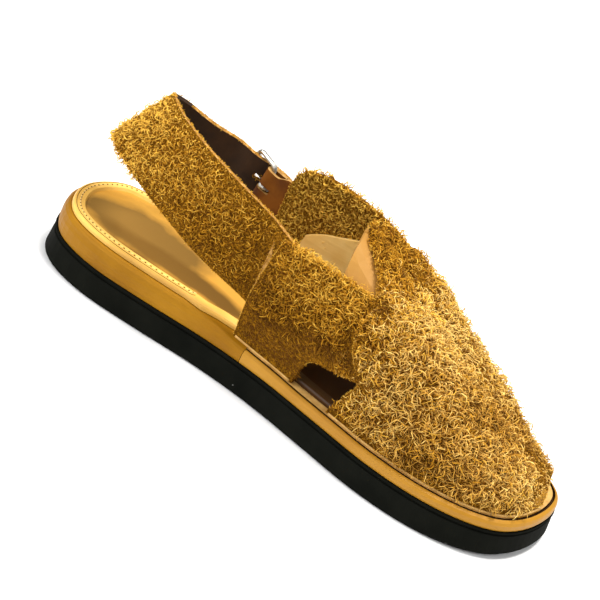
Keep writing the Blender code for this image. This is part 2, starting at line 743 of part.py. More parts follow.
def make_buckle():
    corner = BUCKLE_WIRE
    path = []
    corners = ((0, -1), (1, -1), (1, 1), (0, 1))
    for k, (deep, up) in enumerate(corners):
        for a in np.linspace(0, math.pi / 2, 5):
            turn = a - math.pi + k * math.pi / 2
            along = corner + (FRAME_DEPTH - 2 * corner) * deep + corner * math.cos(turn)
            high = (FRAME_HALF - corner) * up + corner * math.sin(turn)
            path.append(buckle_spot(along, along / FRAME_DEPTH * FRAME_OUT, high))
    frame = tube("buckle_frame", path, BUCKLE_WIRE / 2, closed=True)
    add_material(frame, "dull_steel_frame", (0.42, 0.40, 0.36), 0.35, 1.0)

    wrap = BUCKLE_WIRE / 2 + FIT + PRONG_WIRE / 2
    rest = FRAME_OUT + wrap
    path = [buckle_spot(math.cos(a) * wrap, math.sin(a) * wrap, 0)
            for a in np.linspace(PRONG_EYE[0] * math.pi, PRONG_EYE[1] * math.pi, 12)]
    path += [buckle_spot(back_by, rest - short, 0) for back_by, short in PRONG_RUN]
    prong = tube("buckle_prong", path, PRONG_WIRE / 2, closed=False)
    add_material(prong, "dull_steel_prong", (0.42, 0.40, 0.36), 0.35, 1.0)


def main():
    for obj in list(bpy.data.objects):
        bpy.data.objects.remove(obj, do_unlink=True)
    make_outsole()
    make_midsole()
    make_insole()
    make_upper()
    make_tongue()
    make_heel_strap()
    make_chape()
    make_buckle()


main()
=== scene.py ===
# %% [markdown]
# # A shaggy peshawari chappal
# This lesson dresses a finished solid model of one right shoe: two wide suede bands that cross
# over the instep, a heel strap with a buckle, a tan leather wedge and a black rubber sole. The
# solids come from a CAD step and are not moved here. What is left to do is everything the eye
# reads as material: the long curly hairs of the rough suede, the stitches, the grain of the
# leather, the wear, and the light.

# %% Load the shoe
import math

import bpy
import numpy as np
from mathutils import Matrix, Vector
from mathutils.bvhtree import BVHTree
from mathutils.kdtree import KDTree


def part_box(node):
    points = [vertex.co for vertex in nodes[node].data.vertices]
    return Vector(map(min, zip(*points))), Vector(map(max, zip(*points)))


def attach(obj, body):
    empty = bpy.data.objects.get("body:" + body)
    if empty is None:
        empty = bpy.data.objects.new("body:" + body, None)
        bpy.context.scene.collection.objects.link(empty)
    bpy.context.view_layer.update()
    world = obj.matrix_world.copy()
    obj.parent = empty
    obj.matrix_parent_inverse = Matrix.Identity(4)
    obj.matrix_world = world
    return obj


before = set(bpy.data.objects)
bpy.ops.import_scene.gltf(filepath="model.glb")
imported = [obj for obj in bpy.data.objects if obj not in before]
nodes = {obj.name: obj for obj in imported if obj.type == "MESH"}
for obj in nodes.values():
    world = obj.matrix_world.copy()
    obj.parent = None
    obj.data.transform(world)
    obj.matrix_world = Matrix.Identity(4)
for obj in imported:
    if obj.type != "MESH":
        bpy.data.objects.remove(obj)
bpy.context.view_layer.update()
print("pieces from the CAD:", sorted(nodes))

# %% [markdown]
# ## Reading a mesh into arrays
# Hairs, stitches and creases all start from the shoe's own surface, so the first helper turns a
# mesh into numpy arrays: the corners of each triangle, its area and its outward normal. Reading
# with foreach_get is much faster than a loop over vertices, and the arrays make it easy to pick
# only the triangles that face outwards, or only those of one region.

# %% Triangles of a piece
def triangles_of(obj):
    mesh = obj.data
    mesh.calc_loop_triangles()
    places = np.empty(len(mesh.vertices) * 3)
    mesh.vertices.foreach_get("co", places)
    index = np.empty(len(mesh.loop_triangles) * 3, int)
    mesh.loop_triangles.foreach_get("vertices", index)
    corners = places.reshape(-1, 3)[index.reshape(-1, 3)]
    cross = np.cross(corners[:, 1] - corners[:, 0], corners[:, 2] - corners[:, 0])
    size = np.linalg.norm(cross, axis=1)
    return corners, size / 2, cross / np.maximum(size, 1e-12)[:, None]


def scatter(triangles, keep, count, rng):
    """Random points on the kept triangles, evenly by area, with each point's normal."""
    corners, area, normal = (part[keep] for part in triangles)
    pick = rng.choice(len(area), count, p=area / area.sum())
    a, b = rng.random(count), rng.random(count)
    flip = a + b > 1
    a[flip], b[flip] = 1 - a[flip], 1 - b[flip]
    c = corners[pick]
    spot = c[:, 0] + (c[:, 1] - c[:, 0]) * a[:, None] + (c[:, 2] - c[:, 0]) * b[:, None]
    return spot, normal[pick]


upper_faces = triangles_of(nodes["upper"])
strap_faces = triangles_of(nodes["heel_strap"])
print("upper: %d triangles, %.0f cm2" % (len(upper_faces[1]), upper_faces[1].sum() * 1e4))

# %% [markdown]
# ## Soft random fields
# Real suede is not evenly random. Hairs lie in little swirls, and whole patches are lighter or
# darker where a hand has brushed them. A sum of a few sine waves in random directions gives such
# a smooth field from a position alone. It is cheap, needs no image, and gives the same result on
# every run, because the random generator starts from a fixed seed.

# %% Soft field
def soft_field(spots, scale, seed, waves=9):
    """A smooth value of about -1 to 1 at each spot, with features about one scale wide."""
    rng = np.random.default_rng(seed)
    total = np.zeros(len(spots))
    for _ in range(waves):
        way = rng.normal(size=3)
        way *= rng.uniform(0.6, 1.5) * 2 * math.pi / scale / np.linalg.norm(way) / 2
        total += np.sin(spots @ way + rng.uniform(0, 2 * math.pi))
    return total / math.sqrt(waves / 2) / 1.4


# %% [markdown]
# ## Shared surface effects
# Several materials need the same two effects. The first is a patchy tone: one colour drifts
# slowly into another, as on any hand-finished hide. The second is a leather grain: small raised
# cells with fine creases between them. Each is a node group with named inputs, so that every
# material can use it with its own values. A group gives out only a colour or a height; the
# shader itself stays in the material.

# %% Node helpers and patchy tone group
def new_group(name, inputs, outputs):
    group = bpy.data.node_groups.new(name, "ShaderNodeTree")
    for label, kind, value in inputs:
        socket = group.interface.new_socket(label, in_out="INPUT", socket_type=kind)
        socket.default_value = value
    for label, kind in outputs:
        group.interface.new_socket(label, in_out="OUTPUT", socket_type=kind)
    return group, group.nodes.new("NodeGroupInput"), group.nodes.new("NodeGroupOutput")


VECTOR = "ShaderNodeVectorMath"


def chain(group, operation, first, second=None, kind="ShaderNodeMath", **values):
    """A math node in a group, fed from a socket or a plain value."""
    node = group.nodes.new(kind)
    node.operation = operation
    for slot, source in ((0, first), (1, second)):
        if isinstance(source, (int, float, tuple)):
            node.inputs[slot].default_value = source
        elif source is not None:
            group.links.new(source, node.inputs[slot])
    for label, value in values.items():
        setattr(node, label, value)
    return node.outputs["Value"] if "Value" in node.outputs else node.outputs[0]


def mix_colours(tree, mask, first, second, kind="MIX"):
    """A mix of two colours; each input is a socket or a plain value."""
    node = tree.nodes.new("ShaderNodeMix")
    node.data_type, node.blend_type = "RGBA", kind
    for slot, source in ((0, mask), (6, first), (7, second)):
        if isinstance(source, (int, float, tuple)):
            node.inputs[slot].default_value = source
        else:
            tree.links.new(source, node.inputs[slot])
    return node.outputs[2]


tone_group, tone_in, tone_out = new_group(
    "patchy_tone",
    [("First", "NodeSocketColor", (0.5, 0.3, 0.1, 1)),
     ("Second", "NodeSocketColor", (0.3, 0.2, 0.1, 1)),
     ("Scale", "NodeSocketFloat", 40.0), ("Contrast", "NodeSocketFloat", 1.0)],
    [("Color", "NodeSocketColor"), ("Mask", "NodeSocketFloat")])
cloud = tone_group.nodes.new("ShaderNodeTexNoise")
cloud.inputs["Detail"].default_value = 5
link = tone_group.links.new
link(tone_group.nodes.new("ShaderNodeTexCoord").outputs["Object"], cloud.inputs["Vector"])
link(tone_in.outputs["Scale"], cloud.inputs["Scale"])
off = chain(tone_group, "SUBTRACT", cloud.outputs[0], 0.5)
off = chain(tone_group, "MULTIPLY", off, tone_in.outputs["Contrast"])
mask = chain(tone_group, "ADD", off, 0.5, use_clamp=True)
link(mix_colours(tone_group, mask, tone_in.outputs["First"], tone_in.outputs["Second"]),
     tone_out.inputs["Color"])
link(mask, tone_out.inputs["Mask"])
print("group", tone_group.name, "with", len(tone_group.nodes), "nodes")

# %% Leather grain group
grain_group, grain_in, grain_out = new_group(
    "leather_grain",
    [("Cell size", "NodeSocketFloat", 900.0), ("Crease", "NodeSocketFloat", 0.5)],
    [("Height", "NodeSocketFloat")])
spot = grain_group.nodes.new("ShaderNodeTexCoord")
cells = grain_group.nodes.new("ShaderNodeTexVoronoi"); cells.feature = "DISTANCE_TO_EDGE"
edges = grain_group.nodes.new("ShaderNodeMath"); edges.operation = "SMOOTH_MIN"
edges.inputs[1].default_value = 0.12; edges.inputs[2].default_value = 0.1
folds = grain_group.nodes.new("ShaderNodeTexNoise")
folds.inputs["Scale"].default_value = 160; folds.inputs["Detail"].default_value = 6
mix = grain_group.nodes.new("ShaderNodeMath"); mix.operation = "MULTIPLY_ADD"
link = grain_group.links.new
link(spot.outputs["Object"], cells.inputs["Vector"])
link(spot.outputs["Object"], folds.inputs["Vector"])
link(grain_in.outputs["Cell size"], cells.inputs["Scale"])
link(cells.outputs["Distance"], edges.inputs[0])
link(folds.outputs[0], mix.inputs[0])
link(grain_in.outputs["Crease"], mix.inputs[1])
link(edges.outputs[0], mix.inputs[2])
link(mix.outputs[0], grain_out.inputs["Height"])
print("group", grain_group.name, "with", len(grain_group.nodes), "nodes")

# %% [markdown]
# Three more effects follow. Felt fibres draw thin bright curls over dark gaps: where a noise
# passes its middle value it leaves a fine winding line, and two such nets together look like
# loose fibres. A stain-and-shade patch is a soft oval mask at a place on the shoe, for a stain, a
# polished spot or a patch of painted shade. Edge folds are the long flat creases that a strip of
# leather gets when it is bent round the heel.

# %% Felt fibres, worn patch and edge folds
def fibre_net(group, scale_socket, factor, shift):
    place = group.nodes.new("ShaderNodeTexCoord").outputs["Object"]
    moved = chain(group, "ADD", place, (shift, shift, shift), kind=VECTOR)
    net = group.nodes.new("ShaderNodeTexNoise")
    net.inputs["Detail"].default_value = 1.5
    net.inputs["Distortion"].default_value = 1.0
    group.links.new(moved, net.inputs["Vector"])
    finer = chain(group, "MULTIPLY", scale_socket, factor)
    group.links.new(finer, net.inputs["Scale"])
    off = chain(group, "SUBTRACT", net.outputs[0], 0.5)
    off = chain(group, "ABSOLUTE", off)
    thin = chain(group, "MULTIPLY", off, 13.0)
    return chain(group, "SUBTRACT", 1.0, thin, use_clamp=True)


felt_group, felt_in, felt_out = new_group(
    "felt_fibres",
    [("Scale", "NodeSocketFloat", 500.0), ("Dark", "NodeSocketColor", (0.1, 0.04, 0.01, 1)),
     ("Light", "NodeSocketColor", (0.5, 0.25, 0.03, 1))],
    [("Color", "NodeSocketColor"), ("Height", "NodeSocketFloat")])
both = chain(felt_group, "MAXIMUM",
             fibre_net(felt_group, felt_in.outputs["Scale"], 1.0, 0.0),
             fibre_net(felt_group, felt_in.outputs["Scale"], 1.6, 3.1))
felt = mix_colours(felt_group, both, felt_in.outputs["Dark"], felt_in.outputs["Light"])
felt_group.links.new(felt, felt_out.inputs["Color"])
felt_group.links.new(both, felt_out.inputs["Height"])

patch_group, patch_in, patch_out = new_group(
    "stain_and_shade_patch",
    [("Centre", "NodeSocketVector", (0, 0, 0)), ("Reach", "NodeSocketVector", (0.1, 0.1, 0.1)),
     ("Softness", "NodeSocketFloat", 0.4)],
    [("Mask", "NodeSocketFloat")])
place = patch_group.nodes.new("ShaderNodeTexCoord").outputs["Object"]
away = chain(patch_group, "SUBTRACT", place, patch_in.outputs["Centre"], kind=VECTOR)
away = chain(patch_group, "DIVIDE", away, patch_in.outputs["Reach"], kind=VECTOR)
length = patch_group.nodes.new("ShaderNodeVectorMath"); length.operation = "LENGTH"
patch_group.links.new(away, length.inputs[0])
ragged = patch_group.nodes.new("ShaderNodeTexNoise")
ragged.inputs["Scale"].default_value = 60; ragged.inputs["Detail"].default_value = 4
patch_group.links.new(place, ragged.inputs["Vector"])
ragged = chain(patch_group, "SUBTRACT", ragged.outputs[0], 0.5)
ragged = chain(patch_group, "MULTIPLY", ragged, 0.5)
far = chain(patch_group, "ADD", length.outputs["Value"], ragged)
inside = chain(patch_group, "SUBTRACT", 1.0, far)
mask = chain(patch_group, "DIVIDE", inside, patch_in.outputs["Softness"], use_clamp=True)
patch_group.links.new(mask, patch_out.inputs["Mask"])

fold_group, fold_in, fold_out = new_group(
    "edge_folds", [("Along", "NodeSocketFloat", 14.0), ("Up", "NodeSocketFloat", 420.0)],
    [("Height", "NodeSocketFloat")])
place = fold_group.nodes.new("ShaderNodeTexCoord").outputs["Object"]
stretch = fold_group.nodes.new("ShaderNodeCombineXYZ")
for slot, label in ((0, "Along"), (1, "Along"), (2, "Up")):
    fold_group.links.new(fold_in.outputs[label], stretch.inputs[slot])
stretched = chain(fold_group, "MULTIPLY", place, stretch.outputs[0], kind=VECTOR)
lines = fold_group.nodes.new("ShaderNodeTexNoise")
lines.inputs["Scale"].default_value = 1.0; lines.inputs["Detail"].default_value = 3
fold_group.links.new(stretched, lines.inputs["Vector"])
fold_group.links.new(lines.outputs[0], fold_out.inputs["Height"])
print("groups:", [group.name for group in bpy.data.node_groups])


# %% [markdown]
# ## Materials
# One helper makes a material from a shader's plain values, then each material adds its own
# groups. Values that are the same everywhere are typed on the shader's own sockets, so that they
# survive an export to other programs.

# %% Material helper
def new_material(name, colour, roughness, **values):
    material = bpy.data.materials.new(name)
    material.use_nodes = True
    shader = material.node_tree.nodes["Principled BSDF"]
    shader.inputs["Base Color"].default_value = (*colour, 1)
    shader.inputs["Roughness"].default_value = roughness
    for label, value in values.items():
        shader.inputs[label.replace("_", " ")].default_value = value
    return material, shader


def add_group(material, group, **values):
    node = material.node_tree.nodes.new("ShaderNodeGroup")
    node.node_tree = group
    for label, value in values.items():
        node.inputs[label.replace("_", " ")].default_value = value
    return node


def add_bump(material, shader, height, strength, distance):
    bump = material.node_tree.nodes.new("ShaderNodeBump")
    bump.inputs["Strength"].default_value = strength
    bump.inputs["Distance"].default_value = distance
    material.node_tree.links.new(height, bump.inputs["Height"])
    material.node_tree.links.new(bump.outputs["Normal"], shader.inputs["Normal"])


def dress(node, *materials, which=None):
    """Gives a piece its material, or several and for each triangle the number of the one it takes."""
    obj = nodes[node]
    obj.data.materials.clear()
    for material in materials:
        obj.data.materials.append(material)
    if which is not None:
        obj.data.polygons.foreach_set("material_index", which.astype(np.int32))


# %% Smooth leathers
def make_leather(name, first, second, roughness, grain=0.25, scale=30.0, contrast=3.0, folds=0.0,
                 **values):
    """A leather of two drifting tones, with grain and, on bent strips, long folds."""
    values.setdefault("Specular_IOR_Level", 0.25)
    material, shader = new_material(name, first, roughness, **values)
    link = material.node_tree.links.new
    tone = add_group(material, tone_group, First=(*first, 1), Second=(*second, 1),
                     Scale=scale, Contrast=contrast)
    link(tone.outputs["Color"], shader.inputs["Base Color"])
    height = add_group(material, grain_group, Cell_size=1100.0, Crease=0.6).outputs["Height"]
    if folds:
        lines = add_group(material, fold_group, Along=14.0, Up=420.0)
        deep = chain(material.node_tree, "MULTIPLY", lines.outputs["Height"], folds)
        height = chain(material.node_tree, "ADD", height, deep)
    add_bump(material, shader, height, grain, 0.0003)
    return material


wedge_leather = make_leather("wedge_leather", (0.35, 0.158, 0.004), (0.23, 0.093, 0.002), 0.50,
                             grain=0.40, scale=22.0, contrast=3.5, folds=6.0, Specular_IOR_Level=0.12)
welt_leather = make_leather("welt_leather", (0.47, 0.228, 0.018), (0.37, 0.165, 0.009), 0.45,
                            grain=0.15, scale=26.0, contrast=2.5, folds=2.0)
pale_ridge = make_leather("pale_ridge", (0.74, 0.45, 0.14), (0.52, 0.28, 0.070), 0.7, scale=200.0)
glue_line = make_leather("glue_line", (0.42, 0.31, 0.16), (0.20, 0.13, 0.055), 0.8, scale=90.0,
                         contrast=5.0)
# painted shade: the dark colour inside the pressed groove of the welt
groove_shade, _ = new_material("groove_shade", (0.045, 0.018, 0.004), 0.9, Specular_IOR_Level=0.1)
tongue_leather = make_leather("natural_leather", (0.45, 0.225, 0.045), (0.37, 0.175, 0.032), 0.5,
                              grain=0.35, folds=1.2)
# painted light: a much paler copy of the tongue's leather, for the inner leaf
tongue_lit_leaf = make_leather("tongue_painted_light", (1.0, 0.71, 0.26), (0.92, 0.57, 0.16), 0.5,
                           grain=0.5, scale=70.0, folds=3.0)
chape_leather = make_leather("brown_leather", (0.20, 0.062, 0.002), (0.065, 0.016, 0.001), 0.85,
                             scale=60.0, contrast=4.0)
chape_edge = make_leather("chape_edge", (0.46, 0.26, 0.075), (0.24, 0.11, 0.020), 0.8, scale=300.0)
lining = make_leather("strap_lining", (0.040, 0.016, 0.004), (0.018, 0.007, 0.002), 0.7,
                      scale=80.0)
cut_edge = make_leather("cut_edge", (0.50, 0.27, 0.075), (0.30, 0.135, 0.022), 0.9, scale=420.0,
                        contrast=5.0)

# %% [markdown]
# ## The footbed
# The footbed has a bright raised rim and a dished middle. In the heel the middle is stained dark
# by wear, and towards the inner side it stays lighter. Under the bands the rim and the middle are
# darkened nearly to black as painted shade. The rim is a little browner along the outer side,
# where the foot rubs it. Each stain, and the painted shade too, is one soft oval mask, laid over
# the leather's own colour.

# %% Footbed leather
footbed_rim = make_leather("footbed_rim", (0.88, 0.54, 0.125), (0.74, 0.41, 0.072), 0.42, scale=40.0)
footbed_dish = make_leather("footbed_dish", (0.72, 0.37, 0.060), (0.60, 0.29, 0.040), 0.6,
                             Specular_IOR_Level=0.08)
# painted shade: SHADED darkens the footbed nearly to black under the bands, where they shade it
SHADED = ((0.075, 0.0, 0.025), (0.100, 0.080, 0.1), 0.25, (0.055, 0.022, 0.004))
STAINS_AND_SHADE = (
    # centre, reach, softness, colour
    ((-0.098, -0.004, 0.029), (0.042, 0.0225, 0.1), 0.30, (0.215, 0.112, 0.022)),
    ((-0.068, -0.0145, 0.029), (0.062, 0.0105, 0.1), 0.45, (0.160, 0.078, 0.013)),
    ((-0.085, -0.0265, 0.029), (0.055, 0.0050, 0.1), 0.60, (0.150, 0.070, 0.012)),
    SHADED,
)


def lay_stains_and_shade(material, stains_and_shade):
    """Lays soft oval marks of wear and of painted shade over a leather's colour, one after the other.
    """
    tree = material.node_tree
    colour = tree.nodes["Principled BSDF"].inputs["Base Color"].links[0].from_socket
    for centre, reach, softness, mark_colour in stains_and_shade:
        patch = add_group(material, patch_group, Centre=centre, Reach=reach, Softness=softness)
        colour = mix_colours(tree, patch.outputs["Mask"], colour, (*mark_colour, 1))
    tree.links.new(colour, tree.nodes["Principled BSDF"].inputs["Base Color"])


lay_stains_and_shade(footbed_dish, STAINS_AND_SHADE)
RIM_WEAR = ((-0.060, -0.0365, 0.029), (0.075, 0.0095, 0.1), 0.55, (0.50, 0.265, 0.045))
# the rim takes its rubbed wear, and the same painted shade under the bands
lay_stains_and_shade(footbed_rim, (RIM_WEAR, SHADED))


def level_of(places, width=0.008, highest=True):
    """The highest or lowest point near each place along the shoe, as a function of x."""
    bins = np.round(places[:, 0] / width).astype(int)
    marks = np.unique(bins)
    pick = max if highest else min
    values = np.array([pick(places[bins == mark, 2]) for mark in marks])
    return lambda x: np.interp(x, marks * width, values)


def parts_of(node):
    """A piece's triangles: their middles and their normals."""
    corners, _, normals = triangles_of(nodes[node])
    return corners, corners.mean(axis=1), normals


corners, middle, normals = parts_of("insole")
rim_top = level_of(corners.reshape(-1, 3))
drop = rim_top(middle[:, 0]) - middle[:, 2]
in_dish = (normals[:, 2] > 0.8) & (drop > 0.0009) & (drop < 0.0019)
dress("insole", footbed_rim, footbed_dish, which=in_dish)
print("footbed:", in_dish.sum(), "triangles in the dish")

# %% [markdown]
# ## The tan edge
# The heel wedge and the welt are one strip of mustard leather to the eye. Low down, where it
# was glued to the rubber, a thin line has rubbed pale. On top of the welt a groove is pressed,
# dark inside with painted shade, and the thin ridge within it is paler than the rest. The folded
# tongue has two leaves: the one at the inner side is painted paler, as painted light. The tab
# that holds the buckle is brown, with a light cut edge.

# %% Wedge, welt and tongue
SOLE_TOP = 0.0153
INNER_LEAF, RIDGE_ENDS = 0.012, 0.126
for node, leather in (("heel_wedge", wedge_leather), ("welt_midsole", welt_leather)):
    corners, middle, normals = parts_of(node)
    top = level_of(corners.reshape(-1, 3))(middle[:, 0])
    which = np.zeros(len(middle), int)
    which[corners[:, :, 2].max(axis=1) < SOLE_TOP + 0.0012] = 1
    if node == "welt_midsole":
        # painted shade: the groove's faces (number 3) take the dark groove_shade material
        which[(middle[:, 2] > top - 0.0021) & (middle[:, 2] < top - 0.0011)
              & (np.abs(normals[:, 2]) > 0.9)] = 3
        which[(middle[:, 2] > top - 0.0016) & (middle[:, 2] < top - 0.0004)
              & (np.abs(normals[:, 2]) < 0.25) & (middle[:, 2] > SOLE_TOP + 0.002)] = 3
        which[(normals[:, 2] > 0.97) & (middle[:, 2] > top - 0.0004)
              & (middle[:, 0] < RIDGE_ENDS)] = 2
    dress(node, leather, glue_line, pale_ridge, groove_shade, which=which)
    print(node, "triangles of each finish:", np.bincount(which))
_, middle, _ = parts_of("tongue")
# painted light: the inner leaf takes the paler copy
dress("tongue", tongue_leather, tongue_lit_leaf, which=middle[:, 1] > INNER_LEAF)
_, _, normals = parts_of("buckle_chape")
dress("buckle_chape", chape_leather, chape_edge, which=np.abs(normals[:, 2]) > 0.6)

# %% [markdown]
# ## Rubber and steel
# The rubber is nearly black and dull, with a fine pebble and a few pale specks of dust. The
# buckle is plain steel wire that has lost its shine.

# %% Rubber and steel
rubber, rubber_shader = new_material("black_rubber", (0.005, 0.0052, 0.0036), 0.8,
                                     Specular_IOR_Level=0.05)
rubber_tone = add_group(rubber, tone_group, First=(0.0030, 0.0034, 0.0022, 1),
                        Second=(0.0060, 0.0064, 0.0044, 1), Scale=60.0, Contrast=3.0)
tree = rubber.node_tree
dust = tree.nodes.new("ShaderNodeTexVoronoi")
dust.inputs["Scale"].default_value = 75
tree.links.new(tree.nodes.new("ShaderNodeTexCoord").outputs["Object"], dust.inputs["Vector"])
speck = chain(tree, "LESS_THAN", dust.outputs["Distance"], 0.035)
dusty = mix_colours(tree, speck, rubber_tone.outputs["Color"], (0.16, 0.16, 0.15, 1))
tree.links.new(dusty, rubber_shader.inputs["Base Color"])
rubber_grain = add_group(rubber, grain_group, Cell_size=1500.0, Crease=1.2)
add_bump(rubber, rubber_shader, rubber_grain.outputs["Height"], 0.12, 0.0002)
dress("outsole", rubber)
steel, _ = new_material("dull_steel", (0.40, 0.38, 0.34), 0.38, Metallic=1.0)
dress("buckle_frame", steel)
dress("buckle_prong", steel)

# %% [markdown]
# ## The suede's ground
# Under the hairs lies the split hide itself. Between the strands it is seen only as a dark,
# warm shade, so its deep brown colour is painted shade and it does not shine. Inside the bands
# it is lighter. A strong bump breaks up the smooth solid where a gap lets the eye through.

# %% Suede ground
def make_ground(name, dark, light, scale):
    material, shader = new_material(name, dark, 0.95, Specular_IOR_Level=0.05)
    felt = add_group(material, felt_group, Scale=scale, Dark=(*dark, 1), Light=(*light, 1))
    material.node_tree.links.new(felt.outputs["Color"], shader.inputs["Base Color"])
    add_bump(material, shader, felt.outputs["Height"], 0.8, 0.0008)
    return material


# painted shade: the deep brown of the ground stands for the shade between the hairs
ground = make_ground("suede_ground", (0.085, 0.032, 0.002), (0.34, 0.145, 0.007), 420.0)
inner_ground = make_ground("suede_inside", (0.12, 0.050, 0.003), (0.50, 0.25, 0.024), 420.0)


def facing_of(faces, axis, along):
    """How far each triangle faces away from an axis: 1 outwards, -1 inwards, 0 for a cut edge."""
    corners, _, normals = faces
    away = (corners.mean(axis=1) - axis) * along
    away /= np.linalg.norm(away, axis=1)[:, None]
    return (away * normals).sum(1)


EDGE_FACING = 0.15
STRAP_EDGE_FACING = 0.35
upper_facing = facing_of(upper_faces, np.array([0.0, 0.003, 0.030]), np.array([0, 1, 1]))
strap_facing = facing_of(strap_faces, np.array([-0.080, 0.0, 0.0]), np.array([1, 1, 0]))
upper_middle = upper_faces[0].mean(axis=1)
strap_middle = strap_faces[0].mean(axis=1)
upper_cut = np.abs(upper_facing) < EDGE_FACING
strap_cut = np.abs(strap_facing) < STRAP_EDGE_FACING
dress("upper", ground, cut_edge, inner_ground,
      which=np.where(upper_cut, 1, np.where(upper_facing < 0, 2, 0)))
dress("heel_strap", ground, cut_edge, lining,
      which=np.where(strap_cut, 1, np.where(strap_facing < 0, 2, 0)))
print("cut edges: %d upper, %d strap triangles" % (upper_cut.sum(), strap_cut.sum()))

# %% [markdown]
# ## The hairs
# The nap of this suede is long: loose fibres of 2 to 7 mm that curl and stick together in
# wisps. A particle system would look right, but other programs cannot read it. Here every
# wisp is a small closed mesh: rings of three points and a tip, swept along a curl. Numpy builds
# tens of thousands of them at once. The short undercoat needs two rings only, and the long
# curls get four.
#
# Their colour runs from a dark root, which is painted shade deep in the nap, to a golden tip. It
# comes from a small palette: each wisp lies on one narrow column of the palette, its root at the
# bottom and its tip at the top. The material turns the place on the palette into a colour. The
# left half of the palette is golden, the right half is the sandier tone that the toe has
# bleached to.

# %% Wisp builder
CORNERS = 3
DEEPEST = 0.0005


def ring_faces(rings):
    """The triangles of one wisp, and how far up the wisp each of their corners lies."""
    level = [0.02 + 0.96 * k / rings for k in range(rings + 1)]
    shape, heights = [[2, 1, 0]], [[level[0]] * 3]
    for k in range(rings - 1):
        for c in range(CORNERS):
            a, b = k * CORNERS + c, k * CORNERS + (c + 1) % CORNERS
            shape += [[a, b, b + CORNERS], [a, b + CORNERS, a + CORNERS]]
            heights += [[level[k], level[k], level[k + 1]], [level[k], level[k + 1], level[k + 1]]]
    top = (rings - 1) * CORNERS
    for c in range(CORNERS):
        shape.append([top + c, top + (c + 1) % CORNERS, rings * CORNERS])
        heights.append([level[rings - 1], level[rings - 1], level[rings]])
    return np.array(shape), np.array(heights)


def build_wisps(name, rings, roots, normals, ways, lengths, widths, curls, tones, bleached,
                seed):
    """One mesh of closed curly wisps; ways are the directions that they lean in."""
    rng = np.random.default_rng(seed)
    count = len(roots)
    side = np.cross(ways, normals)
    side /= np.maximum(np.linalg.norm(side, axis=1), 1e-9)[:, None]
    other = np.cross(side, ways)
    phase = rng.uniform(0, 2 * math.pi, count)
    turn = rng.uniform(0.8, 1.7, count) * rings * rng.choice([-1, 1], count)
    start = np.cos(phase)[:, None] * side + np.sin(phase)[:, None] * other
    points = np.empty((count, rings * CORNERS + 1, 3))
    for k in range(rings + 1):
        level = k / rings
        spin = phase + turn * level
        bend = np.cos(spin)[:, None] * side + np.sin(spin)[:, None] * other
        middle = roots + ways * (lengths * level)[:, None]
        middle += (bend - start) * (curls * lengths * min(1.0, 0.35 + level))[:, None]
        middle -= normals * (0.12 * lengths * level ** 2)[:, None]
        sunk = -((middle - roots) * normals).sum(1) - DEEPEST
        middle += normals * np.maximum(sunk, 0)[:, None]
        if k == rings:
            points[:, -1] = middle
            continue
        radius = (widths / 2 * (1 - 0.5 * level))[:, None]
        for c in range(CORNERS):
            a = 2 * math.pi * c / CORNERS
            points[:, k * CORNERS + c] = middle + radius * (math.cos(a) * side + math.sin(a) * other)
    shape, heights = ring_faces(rings)
    faces = (np.arange(count)[:, None, None] * points.shape[1] + shape[None]).reshape(-1)
    mesh = bpy.data.meshes.new(name)
    mesh.vertices.add(points.size // 3)
    mesh.vertices.foreach_set("co", points.reshape(-1))
    mesh.loops.add(len(faces))
    mesh.loops.foreach_set("vertex_index", faces.astype(np.int32))
    total = len(faces) // 3
    mesh.polygons.add(total)
    mesh.polygons.foreach_set("loop_start", np.arange(total, dtype=np.int32) * 3)
    mesh.update(calc_edges=True)
    layer = mesh.uv_layers.new(name="OFBake")
    flat = np.empty((count, shape.size, 2))
    spread = np.tile([-0.002, 0.002, 0.0], len(shape))
    column = np.clip(tones, 0.02, 0.98) * HALF + bleached * (1 - HALF)
    flat[:, :, 0] = column[:, None] + spread[None]
    flat[:, :, 1] = heights.reshape(-1)[None]
    layer.data.foreach_set("uv", flat.reshape(-1))
    mesh.shade_smooth()
    mesh.materials.append(suede_wisps)
    obj = bpy.data.objects.new(name, mesh)
    bpy.context.scene.collection.objects.link(obj)
    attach(obj, "root")
    print(name, count, "wisps,", total, "triangles")
    return total


# %% Wisp materials
GOLDEN = ((0.15, 0.054, 0.002), (0.57, 0.262, 0.012), (0.93, 0.56, 0.080))
SANDY = ((0.20, 0.085, 0.010), (0.64, 0.335, 0.048), (0.96, 0.66, 0.190))
HALF = 0.48


def wisp_material(name, root):
    material, shader = new_material(name, GOLDEN[1], 0.75, Specular_IOR_Level=0.12)
    tree = material.node_tree
    place = tree.nodes.new("ShaderNodeUVMap"); place.uv_map = "OFBake"
    split = tree.nodes.new("ShaderNodeSeparateXYZ")
    tone = tree.nodes.new("ShaderNodeValToRGB")
    tone.color_ramp.elements[0].color = (*GOLDEN[0], 1)
    tone.color_ramp.elements[1].color = (*SANDY[2], 1)
    for mark, colour in ((HALF / 2, GOLDEN[1]), (HALF, GOLDEN[2]), (1 - HALF, SANDY[0]),
                         (1 - HALF / 2, SANDY[1])):
        tone.color_ramp.elements.new(mark).color = (*colour, 1)
    # painted shade: the lower part of each wisp is darkened towards the root
    shade = tree.nodes.new("ShaderNodeValToRGB")
    shade.color_ramp.elements[0].position = 0.0
    shade.color_ramp.elements[0].color = (*root, 1)
    shade.color_ramp.elements[1].position = 0.6
    shade.color_ramp.elements[1].color = (1, 1, 1, 1)
    tree.links.new(place.outputs[0], split.inputs[0])
    tree.links.new(split.outputs[0], tone.inputs[0])
    tree.links.new(split.outputs[1], shade.inputs[0])
    product = mix_colours(tree, 1.0, tone.outputs[0], shade.outputs[0], "MULTIPLY")
    tree.links.new(product, shader.inputs["Base Color"])
    return material


suede_wisps = wisp_material("suede_wisps", (0.27, 0.17, 0.10))
